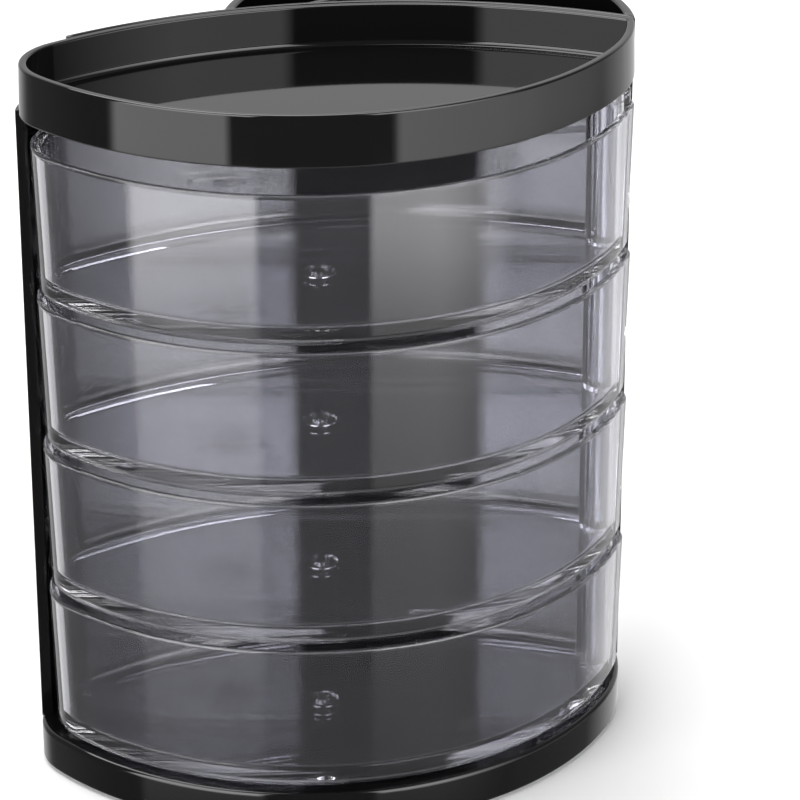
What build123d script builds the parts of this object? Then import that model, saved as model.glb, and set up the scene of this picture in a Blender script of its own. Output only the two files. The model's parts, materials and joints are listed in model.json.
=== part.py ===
import os
from math import atan2, cos, pi, radians, sin, sqrt

from build123d import *

# Desk pen holder: a round pen cup, a stack of clear swivel drawers in front of it
# and a shallow tray on top. Millimetres, +Z up, back at +Y, desk at z = 0 under the middle.
# Places in plan are measured from a point on the line between the drawers' two ends.

# Plan of a drawer at its floor: two long arcs joined by a round end at each side
hinge_x = 45.4
hinge_end_radius = 3.4
far_x = -29.75
far_end_radius = 11.2
front_bulge = 29.45         # how far the front arc stands out from the line between the ends
back_bulge = 18.43

# Drawers
drawer_count = 4
drawer_height = 23.4
drawer_gap = 0.6            # between the rim of a drawer and the one above it
drawer_flare = 0.5         # how much wider each side is at the rim than at the floor
drawer_wall = 1.8
drawer_floor = 2.2
drawer_edge = 1.2           # rounding under the floor
floor_fillet = 0.9          # rounding between floor and wall, inside
rim_step_width = 0.9        # step along the inner edge of the rim
rim_step_depth = 0.8
gate_x = 0.0                # moulding gate in the floor
gate_y = -4.5
gate_radius = 2.6
gate_depth = 0.5
gate_nub_radius = 1.1
gate_nub_height = 0.9

# Hinge
pin_radius = 1.5
pin_running_gap = 0.06      # radial, drawer tube on the pin
pin_seat_gap = 0.02         # radial, pin in the base and in the tray
tube_gap = 0.3              # between one hinge tube and the next
pin_end_gap = 0.2           # between the pin and the bottom cover
pin_in_tray = 1.0           # above the underside of the tray
tray_boss_radius = 3.2
tray_boss_height = 1.6      # below the tray, round the pin

# Case: base, back panel and tray follow the drawers at these distances
front_overhang = 0.9
back_clearance = 0.6
panel_wall = 1.6
lip_end_x = -34.0           # free end of the lip behind the tray
case_end_radius = 11.0
wall_start_y = 4.0          # the walls round the drawers start behind this line

# Pen cup, a circle that touches the front arc of the case from inside
cup_radius = 31.0
cup_wall = 1.5
merge_angle = -36.0         # direction from the front arc's centre to the touching point
divider_wall = 1.3
divider_x = 3.1             # where the divider leaves the back panel
divider_angle = 22.7
divider_drop = 0.4          # below the rim

# Base and its bottom cover
foot_height = 0.5           # below the skirt
base_top = 6.6
base_deck = 1.8
skirt_wall = 1.8
base_edge = 0.5
deck_gap = 0.4              # between the deck and the lowest drawer
pin_boss_radius = 3.4
cover_wall = 1.7
cover_gap = 0.1             # between the cover and the skirt

# Feet
foot_radius = 4.0
foot_recess = 0.6
foot_gap = 0.1
foot_inset = 3.0            # from the outline of the case to the edge of a foot
front_foot_angles = [-92.0, -42.0]
cup_foot_angle = 112.0

# Countersunk screws from below: long ones into the pen cup, short ones into the base
screw_radius = 1.3
screw_gap = 0.2             # radial, where a screw passes freely
screw_bite_gap = 0.02       # radial, where a screw holds
screw_head_radius = 2.6
screw_head_height = 1.2
screw_head_sink = 0.1       # below the face of the cover
screw_drive_radius = 1.0
screw_drive_depth = 0.8
screw_reach = 8.0           # into the pen cup
short_screw_reach = 3.6     # above the cover
screw_tip_gap = 0.4
screw_boss_radius = 3.6
screw_boss_roof = 1.2
screw_post_radius = 3.4
screw_head_room = 0.2       # between a screw head and the skirt
screw_angles = [140.0, 88.0, 12.0]
short_screw_inset = 13.0    # from the outline of the case
short_screw_angles = [-128.0, -64.0]

# Top tray
tray_gap = 3.6              # above the top of the drawer stack
tray_height = 7.8
tray_floor = 1.4
tray_wall = 1.4
tray_rebate = 0.9           # the part of the panel that rises behind the tray
tray_fit = 0.1

# Levels
first_floor = base_top + deck_gap
drawer_pitch = drawer_height + drawer_gap
tray_bottom = first_floor + drawer_count * drawer_pitch + tray_gap
rim_top = tray_bottom + tray_height
boss_bottom = tray_bottom - tray_boss_height
deck_bottom = base_top - base_deck
cover_top = foot_height + cover_wall
pin_bottom = cover_top + pin_end_gap
head_bottom = foot_height + screw_head_sink
head_top = head_bottom + screw_head_height

# Places in plan
hinge = Vector(hinge_x, 0)
far_end = Vector(far_x, 0)


def meet(centre_a, radius_a, centre_b, radius_b, side):
    # Crossing of two circles, on the left (1) or right (-1) of the way from a to b
    way = centre_b - centre_a
    along = (radius_a**2 - radius_b**2 + way.length**2) / (2 * way.length)
    across = sqrt(radius_a**2 - along**2)
    unit = way.normalized()
    return centre_a + unit * along + Vector(-unit.Y, unit.X) * (side * across)


def arc_radius(bulge):
    # Radius of the arc that touches both round ends from outside and stands out by the bulge
    span = hinge_x - far_x
    far_rise = bulge - far_end_radius
    hinge_rise = bulge - hinge_end_radius
    ratio = far_rise / hinge_rise - 1
    rest = far_rise * (hinge_end_radius - far_end_radius) - span**2
    hinge_share = (sqrt(span**2 - ratio * rest) - span) / ratio
    return (hinge_share**2 / hinge_rise + hinge_end_radius + bulge) / 2


def arc_centre(radius, side):
    # Centre of an arc that touches both round ends of the drawer from outside
    return meet(far_end, radius - far_end_radius, hinge, radius - hinge_end_radius, side)


def around(centre, radius, angles):
    # Places on a circle
    return [centre + Vector(radius, 0).rotate(Axis.Z, angle) for angle in angles]


front_radius = arc_radius(front_bulge)
back_radius = arc_radius(back_bulge)
front_centre = arc_centre(front_radius, 1)
back_centre = arc_centre(back_radius, -1)
case_front = front_radius + front_overhang
panel_front = back_radius + drawer_flare + back_clearance
case_back = panel_front + panel_wall
tray_back = case_back - tray_rebate - tray_fit
merge_way = Vector(cos(radians(merge_angle)), sin(radians(merge_angle)))
cup_centre = front_centre + merge_way * (case_front - cup_radius)
screw_ring = cup_radius - skirt_wall - screw_head_radius - screw_head_room
screw_places = around(cup_centre, screw_ring, screw_angles)
short_screw_places = around(front_centre, case_front - short_screw_inset, short_screw_angles)
all_screw_places = screw_places + short_screw_places

case_end = meet(front_centre, case_front - case_end_radius, back_centre, case_back - case_end_radius, -1)
middle_x = (case_end.X - case_end_radius + cup_centre.X + cup_radius) / 2
middle_y = (front_centre.Y - case_front + cup_centre.Y + cup_radius) / 2

foot_ring = foot_radius + foot_inset
foot_places = [case_end]
foot_places += around(front_centre, case_front - foot_ring, front_foot_angles)
foot_places += around(cup_centre, cup_radius - foot_ring, [cup_foot_angle])


def level(z):
    # Plan at a height, with the middle of the object's outline on the Z axis
    return Plane((-middle_x, -middle_y, z))


def out_from(centre, place, radius):
    # The point at a radius about one place, straight out from another centre
    return place + (place - centre).normalized() * radius


def arc_about(centre, start, end):
    # Anticlockwise arc from start to end
    first = atan2(start.Y - centre.Y, start.X - centre.X)
    sweep = (atan2(end.Y - centre.Y, end.X - centre.X) - first) % (2 * pi)
    halfway = first + sweep / 2
    radius = (start - centre).length
    middle = centre + Vector(cos(halfway), sin(halfway)) * radius
    ThreePointArc(start, middle, end)


def drawer_outline(offset, mode=Mode.ADD):
    # Face of a drawer's plan, grown by an offset
    hinge_r = hinge_end_radius + offset
    far_r = far_end_radius + offset
    front_far = out_from(front_centre, far_end, far_r)
    front_hinge = out_from(front_centre, hinge, hinge_r)
    back_hinge = out_from(back_centre, hinge, hinge_r)
    back_far = out_from(back_centre, far_end, far_r)
    with BuildLine() as outline:
        arc_about(front_centre, front_far, front_hinge)
        arc_about(hinge, front_hinge, back_hinge)
        arc_about(back_centre, back_hinge, back_far)
        arc_about(far_end, back_far, front_far)
    make_face(outline.edges(), mode=mode)


def case_outline(offset, back, round_cup):
    # Face of the case's plan. It ends at the back arc, or goes round the whole pen cup.
    end_centre = meet(front_centre, case_front - case_end_radius, back_centre, back - case_end_radius, -1)
    cup_r = cup_radius + offset
    front_far = out_from(front_centre, end_centre, case_end_radius + offset)
    back_far = out_from(back_centre, end_centre, case_end_radius + offset)
    merge = front_centre + merge_way * (case_front + offset)
    corner = meet(back_centre, back + offset, cup_centre, cup_r, 1 if round_cup else -1)
    with BuildLine() as outline:
        arc_about(front_centre, front_far, merge)
        arc_about(cup_centre, merge, corner)
        arc_about(back_centre, corner, back_far)
        arc_about(end_centre, back_far, front_far)
    make_face(outline.edges())


def discs(places, radius, z, height, mode=Mode.ADD):
    # Upright round bosses or holes that start at a level
    with BuildSketch(level(z)) as disc:
        with Locations(*places):
            Circle(radius)
    extrude(disc.sketch, amount=height, mode=mode)


os.makedirs("parts", exist_ok=True)
hinge_place = [(hinge_x, 0)]

# Base: deck under the drawers and the pens, with a skirt down to the feet
with BuildPart() as base:
    with BuildSketch(level(foot_height)):
        case_outline(0, case_back, True)
    extrude(amount=base_top - foot_height)
    chamfer(base.edges().group_by(Axis.Z)[-1], base_edge)
    with BuildSketch(level(foot_height)):
        case_outline(-skirt_wall, case_back, True)
    extrude(amount=deck_bottom - foot_height, mode=Mode.SUBTRACT)
    post_height = deck_bottom - cover_top
    discs(hinge_place, pin_boss_radius, cover_top, post_height)
    discs(hinge_place, pin_radius + pin_seat_gap, cover_top, base_top - cover_top, Mode.SUBTRACT)
    discs(screw_places + short_screw_places, screw_post_radius, cover_top, post_height)
    discs(screw_places, screw_radius + screw_gap, cover_top, base_top - cover_top, Mode.SUBTRACT)
    short_hole = short_screw_reach + screw_tip_gap
    discs(short_screw_places, screw_radius + screw_bite_gap, cover_top, short_hole, Mode.SUBTRACT)
base.part.label = "base"
export_step(base.part, "parts/base.step")

# Bottom cover inside the skirt, with recesses for the feet and countersunk holes
with BuildPart(level(0)) as base_cover:
    with BuildSketch(level(foot_height)):
        case_outline(-skirt_wall - cover_gap, case_back, True)
    extrude(amount=cover_wall)
    discs(foot_places, foot_radius + foot_gap, foot_height, foot_recess, Mode.SUBTRACT)
    discs(all_screw_places, screw_radius + screw_gap, foot_height, cover_wall, Mode.SUBTRACT)
    discs(all_screw_places, screw_head_radius, foot_height, screw_head_sink, Mode.SUBTRACT)
    with Locations(*[place + Vector(0, 0, head_bottom) for place in all_screw_places]):
        Cone(screw_head_radius, screw_radius, screw_head_height,
             align=(Align.CENTER, Align.CENTER, Align.MIN), mode=Mode.SUBTRACT)
base_cover.part.label = "base_cover"
export_step(base_cover.part, "parts/base_cover.step")

# Pen cup: round wall, panel round the back of the drawers, divider and screw bosses
with BuildPart() as pen_cup:
    with BuildSketch(level(base_top)):
        case_outline(0, case_back, True)
        drawer_outline(drawer_flare + back_clearance, Mode.SUBTRACT)
    extrude(amount=tray_bottom - base_top)
    with BuildSketch(level(tray_bottom)):
        case_outline(0, case_back, True)
        with Locations(back_centre):
            Circle(tray_back + tray_fit, mode=Mode.SUBTRACT)
    extrude(amount=rim_top - tray_bottom)
    with BuildSketch(level(base_top)):
        with Locations(cup_centre):
            Circle(cup_radius - cup_wall)
        with Locations(back_centre):
            Circle(case_back, mode=Mode.SUBTRACT)
    extrude(amount=rim_top - base_top, mode=Mode.SUBTRACT)
    # Open front with room for the hinge, and the free end of the lip
    with BuildSketch(level(base_top)):
        with Locations((front_centre.X, wall_start_y)):
            Rectangle(3 * case_front, 3 * case_front, align=(Align.CENTER, Align.MAX))
    extrude(amount=tray_bottom - base_top, mode=Mode.SUBTRACT)
    with BuildSketch(level(tray_bottom)):
        with Locations((lip_end_x, 0)):
            Rectangle(case_front, 2 * case_front, align=(Align.MAX, Align.CENTER))
    extrude(amount=rim_top - tray_bottom, mode=Mode.SUBTRACT)
    # Divider, from the back panel to the round wall
    with BuildSketch(level(base_top)) as divider:
        with Locations(Location((divider_x, back_centre.Y + case_back, 0), divider_angle)):
            Rectangle(2 * cup_radius, divider_wall)
        with Locations(cup_centre):
            Circle(cup_radius - cup_wall / 2, mode=Mode.INTERSECT)
        with Locations(back_centre):
            Circle(case_back - tray_rebate / 2, mode=Mode.SUBTRACT)
    extrude(amount=rim_top - divider_drop - base_top)
    discs(screw_places, screw_boss_radius, base_top, screw_reach + screw_tip_gap + screw_boss_roof)
    discs(screw_places, screw_radius + screw_bite_gap, base_top, screw_reach + screw_tip_gap, Mode.SUBTRACT)
pen_cup.part.label = "pen_cup"
export_step(pen_cup.part, "parts/pen_cup.step")

# Top tray: it stands in the rebate of the back panel and carries the top of the pin
with BuildPart() as top_tray:
    with BuildSketch(level(tray_bottom)):
        case_outline(0, tray_back, False)
    extrude(amount=tray_height)
    with BuildSketch(level(tray_bottom + tray_floor)):
        case_outline(-tray_wall, tray_back, False)
    extrude(amount=tray_height - tray_floor, mode=Mode.SUBTRACT)
    discs(hinge_place, tray_boss_radius, boss_bottom, tray_boss_height)
    discs(hinge_place, pin_radius + pin_seat_gap, boss_bottom, tray_boss_height + pin_in_tray, Mode.SUBTRACT)
top_tray.part.label = "top_tray"
export_step(top_tray.part, "parts/top_tray.step")

# Drawers: clear shells that turn about the pin. The top one has a longer hinge tube.
for number in range(1, drawer_count + 1):
    floor_z = first_floor + (number - 1) * drawer_pitch
    rim_z = floor_z + drawer_height
    tube_top = boss_bottom if number == drawer_count else floor_z + drawer_pitch
    with BuildPart() as drawer:
        with BuildSketch(level(floor_z)):
            drawer_outline(0)
        with BuildSketch(level(rim_z)):
            drawer_outline(drawer_flare)
        loft(ruled=True)
        fillet(drawer.edges().group_by(Axis.Z)[0], drawer_edge)
        with BuildSketch(level(floor_z + drawer_floor)):
            drawer_outline(-drawer_wall)
        with BuildSketch(level(rim_z)):
            drawer_outline(drawer_flare - drawer_wall)
        loft(ruled=True, mode=Mode.SUBTRACT)
        fillet(drawer.faces().filter_by(Plane.XY).sort_by(Axis.Z)[1].edges(), floor_fillet)
        with BuildSketch(level(rim_z - rim_step_depth)):
            drawer_outline(drawer_flare - rim_step_width)
        extrude(amount=rim_step_depth, mode=Mode.SUBTRACT)
        tube_bottom = floor_z + drawer_floor / 2
        discs(hinge_place, hinge_end_radius, tube_bottom, tube_top - tube_gap - tube_bottom)
        discs(hinge_place, pin_radius + pin_running_gap, floor_z, tube_top - floor_z, Mode.SUBTRACT)
        gate_z = floor_z + drawer_floor - gate_depth
        discs([(gate_x, gate_y)], gate_radius, gate_z, gate_depth, Mode.SUBTRACT)
        discs([(gate_x, gate_y)], gate_nub_radius, gate_z, gate_nub_height)
    drawer.part.label = f"drawer_{number}"
    export_step(drawer.part, f"parts/drawer_{number}.step")

# Pivot pin, from the base through the four hinge tubes into the tray
with BuildPart() as pivot_pin:
    discs(hinge_place, pin_radius, pin_bottom, tray_bottom + pin_in_tray - pin_bottom)
    chamfer(pivot_pin.edges().filter_by(GeomType.CIRCLE), pin_radius / 5)
pivot_pin.part.label = "pivot_pin"
export_step(pivot_pin.part, "parts/pivot_pin.step")

# Soft feet in the recesses of the base
for number, place in enumerate(foot_places, 1):
    with BuildPart() as foot:
        discs([place], foot_radius, 0, foot_height + foot_recess)
        fillet(foot.edges().group_by(Axis.Z)[0], foot_height / 2)
    foot.part.label = f"foot_{number}"
    export_step(foot.part, f"parts/foot_{number}.step")

# Long screws that hold cover and base under the pen cup, short ones for the front of the cover
for name, places, tip in [
    ("base_screws", screw_places, base_top + screw_reach),
    ("cover_screws", short_screw_places, cover_top + short_screw_reach),
]:
    with BuildPart(level(0)) as screws:
        with Locations(*[place + Vector(0, 0, head_bottom) for place in places]):
            Cone(screw_head_radius, screw_radius, screw_head_height,
                 align=(Align.CENTER, Align.CENTER, Align.MIN))
        discs(places, screw_radius, head_top, tip - head_top)
        with BuildSketch(level(head_bottom)):
            with Locations(*places):
                RegularPolygon(screw_drive_radius, 6)
        extrude(amount=screw_drive_depth, mode=Mode.SUBTRACT)
    screws.part.label = name
    export_step(screws.part, f"parts/{name}.step")
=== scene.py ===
import json
import math

import bmesh
import bpy
from mathutils import Matrix, Vector


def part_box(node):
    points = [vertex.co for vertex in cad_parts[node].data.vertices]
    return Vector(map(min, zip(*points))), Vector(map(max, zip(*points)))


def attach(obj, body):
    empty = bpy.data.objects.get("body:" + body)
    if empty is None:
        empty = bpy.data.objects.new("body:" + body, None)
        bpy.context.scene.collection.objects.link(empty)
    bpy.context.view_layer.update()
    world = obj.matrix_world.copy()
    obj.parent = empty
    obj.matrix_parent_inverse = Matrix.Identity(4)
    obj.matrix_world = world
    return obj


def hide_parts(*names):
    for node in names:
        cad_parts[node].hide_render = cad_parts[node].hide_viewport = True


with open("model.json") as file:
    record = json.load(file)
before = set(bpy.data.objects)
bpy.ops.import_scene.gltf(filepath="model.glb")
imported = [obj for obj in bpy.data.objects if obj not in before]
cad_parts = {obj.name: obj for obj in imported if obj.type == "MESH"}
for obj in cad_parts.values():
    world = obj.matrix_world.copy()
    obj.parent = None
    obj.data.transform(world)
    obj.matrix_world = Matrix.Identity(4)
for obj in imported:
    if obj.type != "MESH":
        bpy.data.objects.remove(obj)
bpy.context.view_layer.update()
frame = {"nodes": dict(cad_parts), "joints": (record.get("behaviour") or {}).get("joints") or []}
print("frame loaded:", len(frame["nodes"]), "nodes")


def hexColor(code):
    # sRGB hex to the linear colour that shaders use
    channels = [int(code[i:i + 2], 16) / 255 for i in (1, 3, 5)]
    linear = [c / 12.92 if c <= 0.04045 else ((c + 0.055) / 1.055) ** 2.4 for c in channels]
    return (*linear, 1.0)


def addNode(tree, kind, inputs=None, **settings):
    # One node: settings go on the node, inputs are values or sockets to link from
    node = tree.nodes.new(kind)
    for name, value in settings.items():
        setattr(node, name, value)
    for name, value in (inputs or {}).items():
        if isinstance(value, bpy.types.NodeSocket):
            tree.links.new(value, node.inputs[name])
        else:
            node.inputs[name].default_value = value
    return node


def newMaterial(name):
    material = bpy.data.materials.new(name)
    material.use_nodes = True
    material.node_tree.nodes.clear()
    return material, material.node_tree


# Moulded ABS, high gloss: deep black with mirror-like reflections, a faint orange peel and hazy patches
blackAbs = {"color": "#0a0a0b", "roughness": 0.04, "ior": 1.52, "peelSize": 0.012, "peelDepth": 0.000004,
            "peelStrength": 0.3, "hazeSize": 0.02, "hazeFrom": 0.35, "hazeTo": 0.8, "hazeRoughness": 0.055}


def makeBlackAbs():
    material, tree = newMaterial("blackGlossAbs")
    place = addNode(tree, "ShaderNodeTexCoord")
    peel = addNode(tree, "ShaderNodeTexNoise", {"Vector": place.outputs["Object"],
                   "Scale": 1 / blackAbs["peelSize"], "Detail": 0.0})
    bump = addNode(tree, "ShaderNodeBump", {"Height": peel.outputs["Fac"],
                   "Strength": blackAbs["peelStrength"], "Distance": blackAbs["peelDepth"]})
    haze = addNode(tree, "ShaderNodeTexNoise", {"Vector": place.outputs["Object"],
                   "Scale": 1 / blackAbs["hazeSize"], "Detail": 1.0})
    rough = addNode(tree, "ShaderNodeMapRange", {"Value": haze.outputs["Fac"],
                    "From Min": blackAbs["hazeFrom"], "From Max": blackAbs["hazeTo"],
                    "To Min": blackAbs["roughness"], "To Max": blackAbs["hazeRoughness"]})
    shader = addNode(tree, "ShaderNodeBsdfPrincipled", {"Base Color": hexColor(blackAbs["color"]),
                     "IOR": blackAbs["ior"], "Roughness": rough.outputs["Result"],
                     "Normal": bump.outputs["Normal"]})
    addNode(tree, "ShaderNodeOutputMaterial", {"Surface": shader.outputs["BSDF"]})
    return material


# Moulded clear polystyrene: bends light strongly, a cool tint, a breath of haze, flow waves from the mould
clearStyrene = {"color": "#f4f4f9", "roughness": 0.0, "ior": 1.59, "clear": 0.99, "waveSize": 0.016,
                "waveDepth": 0.00002, "waveStrength": 0.25}


def makeClearStyrene():
    material, tree = newMaterial("clearPolystyrene")
    place = addNode(tree, "ShaderNodeTexCoord")
    wave = addNode(tree, "ShaderNodeTexNoise", {"Vector": place.outputs["Object"],
                   "Scale": 1 / clearStyrene["waveSize"], "Detail": 0.0})
    bump = addNode(tree, "ShaderNodeBump", {"Height": wave.outputs["Fac"],
                   "Strength": clearStyrene["waveStrength"], "Distance": clearStyrene["waveDepth"]})
    shader = addNode(tree, "ShaderNodeBsdfPrincipled", {"Base Color": hexColor(clearStyrene["color"]),
                     "IOR": clearStyrene["ior"], "Roughness": clearStyrene["roughness"],
                     "Transmission Weight": clearStyrene["clear"], "Normal": bump.outputs["Normal"]})
    addNode(tree, "ShaderNodeOutputMaterial", {"Surface": shader.outputs["BSDF"]})
    return material


# Drawn steel wire: fine lines along the pin
drawnSteel = {"color": "#b9b9bb", "smooth": 0.196, "rough": 0.392, "lineSize": 0.0004, "lineStretch": 50}


def makeDrawnSteel():
    material, tree = newMaterial("drawnSteel")
    place = addNode(tree, "ShaderNodeTexCoord")
    stretch = addNode(tree, "ShaderNodeMapping", {"Vector": place.outputs["Object"],
                      "Scale": (1.0, 1.0, 1 / drawnSteel["lineStretch"])})
    lines = addNode(tree, "ShaderNodeTexNoise", {"Vector": stretch.outputs["Vector"],
                    "Scale": 1 / drawnSteel["lineSize"], "Detail": 2.0})
    rough = addNode(tree, "ShaderNodeMapRange", {"Value": lines.outputs["Fac"],
                    "To Min": drawnSteel["smooth"], "To Max": drawnSteel["rough"]})
    shader = addNode(tree, "ShaderNodeBsdfPrincipled", {"Base Color": hexColor(drawnSteel["color"]),
                     "Metallic": 1.0, "Roughness": rough.outputs["Result"]})
    addNode(tree, "ShaderNodeOutputMaterial", {"Surface": shader.outputs["BSDF"]})
    return material


# Synthetic rubber pads: matt, with a fine grain
footRubber = {"color": "#1d1d1e", "roughness": 0.75, "grainSize": 0.0006, "grainDepth": 0.00004}


def makeFootRubber():
    material, tree = newMaterial("footRubber")
    place = addNode(tree, "ShaderNodeTexCoord")
    grain = addNode(tree, "ShaderNodeTexNoise", {"Vector": place.outputs["Object"],
                    "Scale": 1 / footRubber["grainSize"], "Detail": 4.0})
    bump = addNode(tree, "ShaderNodeBump", {"Height": grain.outputs["Fac"],
                   "Distance": footRubber["grainDepth"]})
    shader = addNode(tree, "ShaderNodeBsdfPrincipled", {"Base Color": hexColor(footRubber["color"]),
                     "Roughness": footRubber["roughness"], "Normal": bump.outputs["Normal"]})
    addNode(tree, "ShaderNodeOutputMaterial", {"Surface": shader.outputs["BSDF"]})
    return material


finishes = {"black_plastic": makeBlackAbs(), "clear_plastic": makeClearStyrene(),
            "steel": makeDrawnSteel(), "foot_rubber": makeFootRubber()}
print("materials made:", len(finishes))

# Outline seen from above, in metres, as in the solids
plan = {"endSpan": 0.07515, "hingeEnd": 0.0034, "farEnd": 0.0112, "frontArc": 0.05036, "backArc": 0.07807,
        "overhang": 0.0009, "flare": 0.0005, "backClear": 0.0006, "panelWall": 0.0016, "caseEnd": 0.011,
        "cupRadius": 0.031, "cupWall": 0.0015, "mergeAngle": math.radians(-36), "rebate": 0.0009,
        "fit": 0.0001}


def meetCircles(a, radiusA, b, radiusB, side):
    # Crossing of two circles, left (1) or right (-1) of the way from a to b
    way = b - a
    along = (radiusA ** 2 - radiusB ** 2 + way.length ** 2) / (2 * way.length)
    across = math.sqrt(radiusA ** 2 - along ** 2)
    unit = way.normalized()
    return a + unit * along + Vector((-unit.y, unit.x)) * (side * across)


def outFrom(centre, place, radius):
    return place + (place - centre).normalized() * radius


hinge = Vector(frame["joints"][0]["pos_m"][:2])
farEnd = hinge - Vector((plan["endSpan"], 0))
frontCentre = meetCircles(farEnd, plan["frontArc"] - plan["farEnd"],
                          hinge, plan["frontArc"] - plan["hingeEnd"], 1)
backCentre = meetCircles(farEnd, plan["backArc"] - plan["farEnd"],
                         hinge, plan["backArc"] - plan["hingeEnd"], -1)
caseFront = plan["frontArc"] + plan["overhang"]
panelFront = plan["backArc"] + plan["flare"] + plan["backClear"]
caseBack = panelFront + plan["panelWall"]
trayBack = caseBack - plan["rebate"] - plan["fit"]
mergeWay = Vector((math.cos(plan["mergeAngle"]), math.sin(plan["mergeAngle"])))
cupCentre = frontCentre + mergeWay * (caseFront - plan["cupRadius"])


def turnAngle(centre, start, end, way):
    first = math.atan2(start.y - centre.y, start.x - centre.x)
    last = math.atan2(end.y - centre.y, end.x - centre.x)
    return way * ((way * (last - first)) % (2 * math.pi))


def traceLoop(bm, z, start, moves):
    # Closed outline: each move is an arc about a centre, or a straight line where the centre is None
    verts = [bm.verts.new((start.x, start.y, z))]
    here = start
    for centre, end, way, steps in moves:
        if centre is None:
            verts += bmesh.ops.extrude_vert_indiv(bm, verts=verts[-1:])["verts"]
            verts[-1].co = (end.x, end.y, z)
        else:
            bm.verts.index_update()
            bmesh.ops.spin(bm, geom=verts[-1:], cent=(centre.x, centre.y, z), axis=(0, 0, 1),
                           angle=turnAngle(centre, here, end, way), steps=steps)
            verts += followOn(verts[-1], verts)
        here = end
    bmesh.ops.weld_verts(bm, targetmap={verts[-1]: verts[0]})
    verts.pop()
    return [bm.edges.get(pair) for pair in zip(verts, verts[1:] + verts[:1])]


def followOn(vert, known):
    # The chain of new vertices that a spin has drawn from the last one
    chain = []
    seen = set(known)
    while True:
        after = [e.other_vert(vert) for e in vert.link_edges if e.other_vert(vert) not in seen]
        if not after:
            return chain
        vert = after[0]
        chain.append(vert)
        seen.add(vert)


def ovalMoves(offset):
    # Plan of a drawer
    frontFar = outFrom(frontCentre, farEnd, plan["farEnd"] + offset)
    frontHinge = outFrom(frontCentre, hinge, plan["hingeEnd"] + offset)
    backHinge = outFrom(backCentre, hinge, plan["hingeEnd"] + offset)
    backFar = outFrom(backCentre, farEnd, plan["farEnd"] + offset)
    return frontFar, [(frontCentre, frontHinge, 1, 80), (hinge, backHinge, 1, 20),
                      (backCentre, backFar, 1, 64), (farEnd, frontFar, 1, 40)]


def caseMoves(offset, back, roundCup):
    # Plan of the case, up to the back arc or round the whole pen cup
    end = meetCircles(frontCentre, caseFront - plan["caseEnd"], backCentre, back - plan["caseEnd"], -1)
    frontFar = outFrom(frontCentre, end, plan["caseEnd"] + offset)
    backFar = outFrom(backCentre, end, plan["caseEnd"] + offset)
    merge = frontCentre + mergeWay * (caseFront + offset)
    side = 1 if roundCup else -1
    corner = meetCircles(backCentre, back + offset, cupCentre, plan["cupRadius"] + offset, side)
    return frontFar, [(frontCentre, merge, 1, 80), (cupCentre, corner, 1, 96 if roundCup else 16),
                      (backCentre, backFar, 1, 24 if roundCup else 64), (end, frontFar, 1, 40)]


def bend(offset, z, radius, first, last, steps=5):
    # Points of a rounded edge in a wall's section
    turns = [math.radians(first + (last - first) * i / steps) for i in range(steps + 1)]
    return [(offset + radius * math.cos(t), z + radius * math.sin(t)) for t in turns]


levelFall = 0.00002    # flat rims fall by this much, because loops are bridged only between two heights


def loftSection(bm, section, movesFor):
    # Skin over one outline for each point of a section, closed at both ends
    loops = [traceLoop(bm, z, *movesFor(offset)) for offset, z in section]
    for lower, upper in zip(loops, loops[1:]):
        bmesh.ops.bridge_loops(bm, edges=lower + upper)
    for loop in (loops[0], loops[-1]):
        bmesh.ops.edgeloop_fill(bm, edges=loop)


def extrudePlan(bm, z, top, outlines):
    # Upright prism over outlines: the first is its edge, the others are holes
    edges = [edge for start, moves in outlines for edge in traceLoop(bm, z, start, moves)]
    floor = bmesh.ops.triangle_fill(bm, edges=edges, use_beauty=True)["geom"]
    faces = [f for f in floor if isinstance(f, bmesh.types.BMFace)]
    raised = bmesh.ops.extrude_face_region(bm, geom=faces, use_keep_orig=True)["geom"]
    verts = [v for v in raised if isinstance(v, bmesh.types.BMVert)]
    bmesh.ops.translate(bm, verts=verts, vec=(0, 0, top - z))
    return verts


def addDisc(bm, place, radius, z, top, segments=64, edge=0.0):
    # Upright cylinder with its top edge rounded
    middle = Matrix.Translation((place.x, place.y, (z + top) / 2))
    verts = bmesh.ops.create_cone(bm, cap_ends=True, segments=segments, radius1=radius, radius2=radius,
                                  depth=top - z, matrix=middle)["verts"]
    if edge:
        rim = {e for v in verts for e in v.link_edges if all(abs(w.co.z - top) < 1e-7 for w in e.verts)}
        bmesh.ops.bevel(bm, geom=list(rim), offset=edge, segments=3, affect="EDGES", profile=0.5, material=-1)


sharpAngle = math.radians(32)    # folds above this stay crisp


def finishPiece(bm, name, body, slot, nodes):
    # Mesh to object: smooth faces with sharp edges kept, riding on its body
    bmesh.ops.remove_doubles(bm, verts=bm.verts, dist=1e-7)
    bmesh.ops.recalc_face_normals(bm, faces=bm.faces)
    mesh = bpy.data.meshes.new(name)
    bm.to_mesh(mesh)
    bm.free()
    piece = bpy.data.objects.new(name, mesh)
    bpy.context.scene.collection.objects.link(piece)
    dressPiece(piece, body, slot, nodes)


def dressPiece(piece, body, slot, nodes):
    # Even shading and finish for a piece that stands for these nodes
    piece.data.polygons.foreach_set("use_smooth", [True] * len(piece.data.polygons))
    piece.data.set_sharp_from_angle(angle=sharpAngle)
    even = piece.modifiers.new("evenShading", "WEIGHTED_NORMAL")    # walls stay flat beside rounded edges
    even.weight = 75
    even.keep_sharp = True
    piece.data.materials.clear()
    piece.data.materials.append(finishes[slot])
    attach(piece, body)
    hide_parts(*nodes)


# Base: deck with a skirt, its top edge softly rounded
baseShape = {"skirt": 0.0018, "deck": 0.0018, "topEdge": 0.0007, "footEdge": 0.0004}


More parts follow.
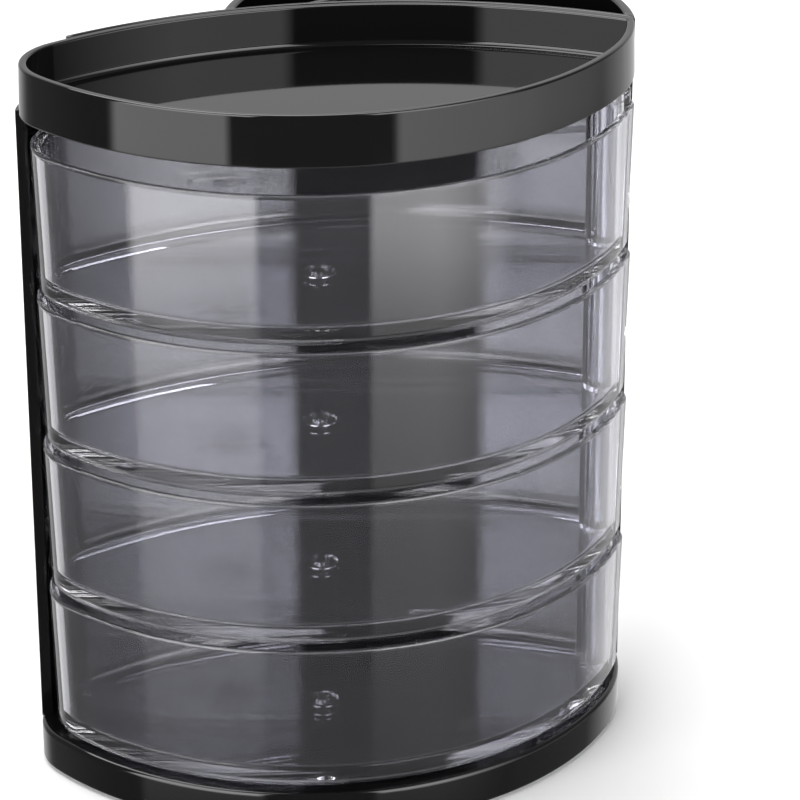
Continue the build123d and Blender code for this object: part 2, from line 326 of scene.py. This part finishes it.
def makeBase():
    low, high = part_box("base")
    top, foot = baseShape["topEdge"], baseShape["footEdge"]
    section = [(-baseShape["skirt"], high[2] - baseShape["deck"]), (-baseShape["skirt"], low[2] + levelFall)]
    section += bend(-foot, low[2] + foot, foot, -90, 0)
    section += bend(-top, high[2] - top, top, 0, 90)
    bm = bmesh.new()
    loftSection(bm, section, lambda offset: caseMoves(offset, caseBack, True))
    finishPiece(bm, "baseShell", "holder", "black_plastic", ["base"])


# Tray: shallow dish with a rolled rim, its wall leaning in by the draft, and the boss for the pin below
trayShape = {"wall": 0.0014, "floor": 0.0014, "draft": 0.0002, "outerEdge": 0.00035, "innerEdge": 0.0003,
             "footEdge": 0.0003, "floorFillet": 0.0009, "bossRadius": 0.0032, "bossHeight": 0.0016}


def makeTray():
    boss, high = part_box("top_tray")
    bottom = boss[2] + trayShape["bossHeight"]
    wall, outer, inner = trayShape["wall"], trayShape["outerEdge"], trayShape["innerEdge"]
    foot, fillet = trayShape["footEdge"], trayShape["floorFillet"]
    floor = bottom + trayShape["floor"]
    section = bend(-foot, bottom + foot, foot, -90, 0)
    section += bend(-outer - trayShape["draft"], high[2] - outer, outer, 0, 90)
    section += bend(-wall + inner, high[2] - inner - levelFall, inner, 90, 180)
    section += bend(-wall - fillet, floor + fillet, fillet, 0, -90)
    bm = bmesh.new()
    loftSection(bm, section, lambda offset: caseMoves(offset, trayBack, False))
    addDisc(bm, hinge, trayShape["bossRadius"], boss[2], bottom + trayShape["floor"] / 2)
    finishPiece(bm, "trayDish", "holder", "black_plastic", ["top_tray"])


# Pen cup: round wall with the back panel of the drawers, a divider and screw bosses
cupShape = {"lipEnd": 0.0794, "wallStart": 0.004, "endTurn": 0.00015, "rimEdge": 0.00035,
            "dividerWall": 0.0013, "dividerStart": 0.0423, "dividerAngle": 22.7, "dividerDrop": 0.0004,
            "dividerEdge": 0.0003, "seamLap": 0.0001, "bossRing": 0.0264, "bossAngles": [140, 88, 12],
            "bossRadius": 0.0036, "bossHeight": 0.0102, "bossEdge": 0.0004}


def onCircle(centre, radius, x=None, y=None, way=1):
    # Point of a circle at a given x or y
    if x is not None:
        return Vector((x, centre.y + way * math.sqrt(radius ** 2 - (x - centre.x) ** 2)))
    return Vector((centre.x + way * math.sqrt(radius ** 2 - (y - centre.y) ** 2), y))


def makeCup():
    low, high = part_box("pen_cup")
    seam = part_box("top_tray")[0][2] + trayShape["bossHeight"]
    radius, inner = plan["cupRadius"], plan["cupRadius"] - plan["cupWall"]
    left = meetCircles(backCentre, caseBack, cupCentre, radius, 1)
    # Panel: round the back and the far end of the drawers, open in front
    wallStart = hinge.y + cupShape["wallStart"]
    room = plan["farEnd"] + plan["flare"] + plan["backClear"]
    end = meetCircles(frontCentre, caseFront - plan["caseEnd"], backCentre, caseBack - plan["caseEnd"], -1)
    hingeIn = onCircle(backCentre, panelFront, y=wallStart + cupShape["endTurn"])
    hingeOut = onCircle(cupCentre, radius, y=wallStart)
    endOut = onCircle(end, plan["caseEnd"], y=wallStart, way=-1)
    endIn = onCircle(farEnd, room, y=wallStart, way=-1)
    lower = (hingeOut, [(cupCentre, left, 1, 96),
                        (backCentre, outFrom(backCentre, end, plan["caseEnd"]), 1, 24),
                        (end, endOut, 1, 24), (None, endIn, 1, 1),
                        (farEnd, outFrom(backCentre, farEnd, room), -1, 24),
                        (backCentre, hingeIn, -1, 64), (None, hingeOut, 1, 1)])
    # Lip behind the tray
    lipEnd = hinge.x - cupShape["lipEnd"]
    lipFront = trayBack + plan["fit"]
    corner = meetCircles(backCentre, lipFront, cupCentre, radius, -1)
    upper = (corner, [(cupCentre, left, 1, 96), (backCentre, onCircle(backCentre, caseBack, x=lipEnd), 1, 24),
                      (None, onCircle(backCentre, lipFront, x=lipEnd), 1, 1), (backCentre, corner, -1, 64)])
    innerLeft = meetCircles(backCentre, caseBack, cupCentre, inner, 1)
    innerRight = meetCircles(backCentre, caseBack, cupCentre, inner, -1)
    well = (innerRight, [(cupCentre, innerLeft, 1, 96), (backCentre, innerRight, -1, 48)])
    bm = bmesh.new()
    extrudePlan(bm, low[2], seam, [lower, well])
    rim = set(extrudePlan(bm, seam - cupShape["seamLap"], high[2], [upper, well]))
    edges = {e for v in rim for e in v.link_edges if all(w in rim for w in e.verts)}
    edges = [e for e in edges if len(e.link_faces) == 2 and e.calc_face_angle(0) > sharpAngle]
    bmesh.ops.bevel(bm, geom=edges, offset=cupShape["rimEdge"], segments=3, affect="EDGES", profile=0.5,
                    material=-1, clamp_overlap=True)
    for angle in cupShape["bossAngles"]:
        way = Vector((math.cos(math.radians(angle)), math.sin(math.radians(angle))))
        addDisc(bm, cupCentre + way * cupShape["bossRing"], cupShape["bossRadius"], low[2],
                low[2] + cupShape["bossHeight"], edge=cupShape["bossEdge"])
    addDivider(bm, low[2], high[2] - cupShape["dividerDrop"])
    finishPiece(bm, "cupShell", "holder", "black_plastic", ["pen_cup"])


def addDivider(bm, z, top):
    # Straight plate from the back panel to the round wall, its top edge rounded
    start = Vector((hinge.x - cupShape["dividerStart"], backCentre.y + caseBack))
    turn = math.radians(cupShape["dividerAngle"])
    way = Vector((math.cos(turn), math.sin(turn)))
    toCentre = start - cupCentre
    reach = plan["cupRadius"] - plan["cupWall"] / 2
    half = toCentre.dot(way)
    length = -half + math.sqrt(half ** 2 - toCentre.length_squared + reach ** 2)
    middle = start + way * (length / 2)
    place = Matrix.Translation((middle.x, middle.y, (z + top) / 2))
    place = place @ Matrix.Rotation(turn, 4, "Z")
    place = place @ Matrix.Diagonal((length, cupShape["dividerWall"], top - z, 1))
    verts = bmesh.ops.create_cube(bm, size=1.0, matrix=place)["verts"]
    rim = {e for v in verts for e in v.link_edges if all(abs(w.co.z - top) < 1e-7 for w in e.verts)}
    long = [e for e in rim if e.calc_length() > 2 * cupShape["dividerWall"]]
    bmesh.ops.bevel(bm, geom=long, offset=cupShape["dividerEdge"], segments=3, affect="EDGES", profile=0.5,
                    material=-1)


# Clear drawers: thin shells with a stepped rim, a hinge tube and the mark of the moulding gate
drawerShape = {"wall": 0.0018, "floor": 0.0022, "bottomEdge": 0.0016, "rimEdge": 0.00035, "stepWidth": 0.0009,
               "stepDepth": 0.0008, "stepEdge": 0.0002, "floorFillet": 0.0014, "tubeRadius": 0.00335,
               "bore": 0.00156, "height": 0.0234, "gate": (-0.0454, -0.0045), "gateRadius": 0.0026,
               "gateDepth": 0.0005, "nubRadius": 0.0011, "nubHeight": 0.0009, "nubEdge": 0.0006,
               "topEdge": 0.0003}


def drawerSection():
    s, flare = drawerShape, plan["flare"]
    rim, edge = s["height"], s["stepEdge"]
    step = rim - s["stepDepth"]
    section = bend(-s["bottomEdge"], s["bottomEdge"], s["bottomEdge"], -90, 0, 8)
    section += bend(flare - s["rimEdge"], rim - s["rimEdge"], s["rimEdge"], 0, 90)
    section += bend(flare - s["stepWidth"] + edge, rim - edge - levelFall, edge, 90, 180, 3)
    section += [(flare - s["stepWidth"], step)]
    section += bend(flare - s["wall"] + edge, step - edge - levelFall, edge, 90, 180, 3)
    section += bend(-s["wall"] - s["floorFillet"], s["floor"] + s["floorFillet"], s["floorFillet"], 0, -90, 8)
    return section


def temporaryPiece(bm):
    mesh = bpy.data.meshes.new("cutter")
    bm.to_mesh(mesh)
    bm.free()
    piece = bpy.data.objects.new("cutter", mesh)
    bpy.context.scene.collection.objects.link(piece)
    return piece


def shapeDrawer(tubeTop):
    # Mesh of a drawer that stands at height zero: shell, hinge tube with its bore, gate mark
    s = drawerShape
    past = 2 * s["topEdge"]
    shell = bmesh.new()
    loftSection(shell, drawerSection(), ovalMoves)
    bmesh.ops.recalc_face_normals(shell, faces=shell.faces)
    gate = hinge + Vector(s["gate"])
    gateFloor = s["floor"] - s["gateDepth"]
    tube = bmesh.new()
    addDisc(tube, hinge, s["tubeRadius"], s["floor"] / 2, tubeTop, 96, s["topEdge"])
    holes = bmesh.new()
    addDisc(holes, hinge, s["bore"], -past, tubeTop + past, 64)
    addDisc(holes, gate, s["gateRadius"], gateFloor, s["floor"] + past, 64)
    nub = bmesh.new()
    addDisc(nub, gate, s["nubRadius"], gateFloor - past, gateFloor + s["nubHeight"], 48, s["nubEdge"])
    body = temporaryPiece(shell)
    helpers = [temporaryPiece(tool) for tool in (tube, holes, nub)]
    for helper, operation in zip(helpers, ("UNION", "DIFFERENCE", "UNION")):
        cutter = body.modifiers.new("join", "BOOLEAN")
        cutter.operation, cutter.object, cutter.solver = operation, helper, "EXACT"
    shaped = bpy.data.meshes.new_from_object(body.evaluated_get(bpy.context.evaluated_depsgraph_get()))
    for helper in helpers + [body]:
        bpy.data.objects.remove(helper)
    return shaped


def makeDrawers(names):
    shapes = {}
    for name in names:
        low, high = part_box(name)
        tubeTop = round(high[2] - low[2], 6)
        if tubeTop not in shapes:
            shapes[tubeTop] = shapeDrawer(tubeTop)
        mesh = shapes[tubeTop].copy()
        mesh.transform(Matrix.Translation((0, 0, low[2])))
        piece = bpy.data.objects.new(name.replace("_", "") + "Shell", mesh)
        bpy.context.scene.collection.objects.link(piece)
        dressPiece(piece, name, "clear_plastic", [name])


makeBase()
makeTray()
makeCup()
makeDrawers([f"drawer_{number}" for number in range(1, 5)])
print("pieces made")

# Nodes that keep their CAD shape
for node, slot in (("pivot_pin", "steel"), ("base_screws", "steel"), ("cover_screws", "steel"),
                   ("base_cover", "black_plastic"), ("foot_1", "foot_rubber"), ("foot_2", "foot_rubber"),
                   ("foot_3", "foot_rubber"), ("foot_4", "foot_rubber")):
    shown = frame["nodes"][node]
    shown.data.materials.clear()
    shown.data.materials.append(finishes[slot])

# White studio: pale floor, a wide light overhead and a room with a softbox at each side of the camera.
# Each stop is an angle and the light from there: round from the camera's side (right is above zero),
# or up from the horizon.
studio = {"floorColor": "#e6e6e6", "floorSize": 12.0, "topStrength": 30.0, "topSize": (1.6, 1.2),
          "topPlace": (-0.3, 0.5, 1.6),
          "room": [(-180, 0.85), (-138, 0.85), (-118, 0.3), (-75, 0.12), (75, 0.12), (80, 0.2), (120, 0.2),
                   (138, 0.85), (180, 0.85)],
          "boxes": [(-63.5, 0), (-60, 2.8), (-17, 2.8), (-14.5, 0), (22.5, 0), (25, 2.3), (48, 2.4),
                    (57, 1.8), (66, 1.1), (80, 0)],
          "waist": [(-66.5, 0), (-63.5, 2.5), (-25, 2.5), (-23, 0), (30.5, 0), (33, 2.1), (70, 1.6),
                    (91, 0.9), (119, 0.25), (138, 0)],
          "waistRise": [(-19.2, 0), (-18, 1), (-12, 1), (-8, 0)],
          "boxRise": [(-34, 0), (-30, 0.12), (-27.8, 0.22), (-25.4, 0.38), (-24.2, 0.95), (-21.5, 1),
                      (-20, 0.8), (-18.5, 0.8), (-17.5, 1), (-13, 1), (5, 1.9), (35, 1.9), (60, 0)],
          "table": [(-90, 0.7), (-44, 0.7), (-34.5, 0)]}
camera = {"fromHinge": (-0.1446, -0.4946, 0.2829), "pitch": 24.03, "yaw": -12.83, "lens": 163.4, "sensor": 36,
          "nearest": 0.01}


def makeFloor():
    bm = bmesh.new()
    bmesh.ops.create_grid(bm, x_segments=1, y_segments=1, size=studio["floorSize"])
    mesh = bpy.data.meshes.new("floor")
    bm.to_mesh(mesh)
    bm.free()
    floor = bpy.data.objects.new("floor", mesh)
    bpy.context.scene.collection.objects.link(floor)
    material, tree = newMaterial("paleFloor")
    shader = addNode(tree, "ShaderNodeBsdfDiffuse", {"Color": hexColor(studio["floorColor"])})
    addNode(tree, "ShaderNodeOutputMaterial", {"Surface": shader.outputs["BSDF"]})
    mesh.materials.append(material)
    floor.visible_glossy = False           # gloss and clear plastic show the room's own light instead
    floor.visible_transmission = False


def makeTopLight():
    data = bpy.data.lights.new("overhead", "AREA")
    data.shape = "RECTANGLE"
    data.size, data.size_y = studio["topSize"]
    data.energy = studio["topStrength"]
    light = bpy.data.objects.new("overhead", data)
    light.location = studio["topPlace"]
    light.rotation_euler = (-light.location).to_track_quat("-Z", "Y").to_euler()
    bpy.context.scene.collection.objects.link(light)


def makeWorld():
    # Light by direction: the room, the softboxes where they hang, drawn in at their waist, and the table
    world = bpy.data.worlds.new("studio")
    bpy.context.scene.world = world
    world.use_nodes = True
    tree = world.node_tree
    tree.nodes.clear()
    place = addNode(tree, "ShaderNodeTexCoord")
    turned = addNode(tree, "ShaderNodeVectorRotate", {"Vector": place.outputs["Generated"],
                     "Angle": math.radians(-camera["yaw"])}, rotation_type="Z_AXIS")
    axes = addNode(tree, "ShaderNodeSeparateXYZ", {"Vector": turned.outputs["Vector"]})
    near = addNode(tree, "ShaderNodeMath", {0: axes.outputs["Y"], 1: -1.0}, operation="MULTIPLY")
    around = addNode(tree, "ShaderNodeMath", {0: axes.outputs["X"], 1: near.outputs[0]}, operation="ARCTAN2")
    above = addNode(tree, "ShaderNodeMath", {0: axes.outputs["Z"]}, operation="ARCSINE")
    glow = {}
    for name, angle, reach in (("room", around, 180), ("boxes", around, 180), ("waist", around, 180),
                               ("waistRise", above, 90), ("boxRise", above, 90), ("table", above, 90)):
        share = addNode(tree, "ShaderNodeMapRange", {"Value": angle.outputs[0],
                        "From Min": -math.radians(reach), "From Max": math.radians(reach)})
        ramp = addNode(tree, "ShaderNodeValToRGB", {"Fac": share.outputs["Result"]})
        stops = ramp.color_ramp.elements
        for number, (degrees, light) in enumerate(studio[name]):
            spot = (degrees + reach) / (2 * reach)
            stop = stops[number] if number < 2 else stops.new(1.0)
            stop.position = spot
            stop.color = (light, light, light, 1)
        glow[name] = ramp.outputs["Color"]
    boxes = addNode(tree, "ShaderNodeMix", {"Factor": glow["waistRise"], "A": glow["boxes"],
                    "B": glow["waist"]})
    hung = addNode(tree, "ShaderNodeMath", {0: boxes.outputs["Result"], 1: glow["boxRise"], 2: glow["room"]},
                   operation="MULTIPLY_ADD")
    total = addNode(tree, "ShaderNodeMath", {0: hung.outputs[0], 1: glow["table"]}, operation="ADD")
    shader = addNode(tree, "ShaderNodeBackground", {"Color": hexColor("#ffffff"),
                     "Strength": total.outputs[0]})
    addNode(tree, "ShaderNodeOutputWorld", {"Surface": shader.outputs["Background"]})


def makeCamera():
    data = bpy.data.cameras.new("camera")
    data.lens = camera["lens"]
    data.sensor_width = camera["sensor"]
    data.clip_start = camera["nearest"]
    view = bpy.data.objects.new("camera", data)
    view.location = hinge.to_3d() + Vector(camera["fromHinge"])
    view.rotation_euler = (math.radians(90 - camera["pitch"]), 0, math.radians(camera["yaw"]))
    bpy.context.scene.collection.objects.link(view)
    bpy.context.scene.camera = view


makeFloor()
makeTopLight()
makeWorld()
makeCamera()
scene = bpy.context.scene
scene.view_settings.view_transform = "Standard"
scene.cycles.max_bounces = 24
scene.cycles.transmission_bounces = 20
scene.cycles.glossy_bounces = 12
print("studio ready")
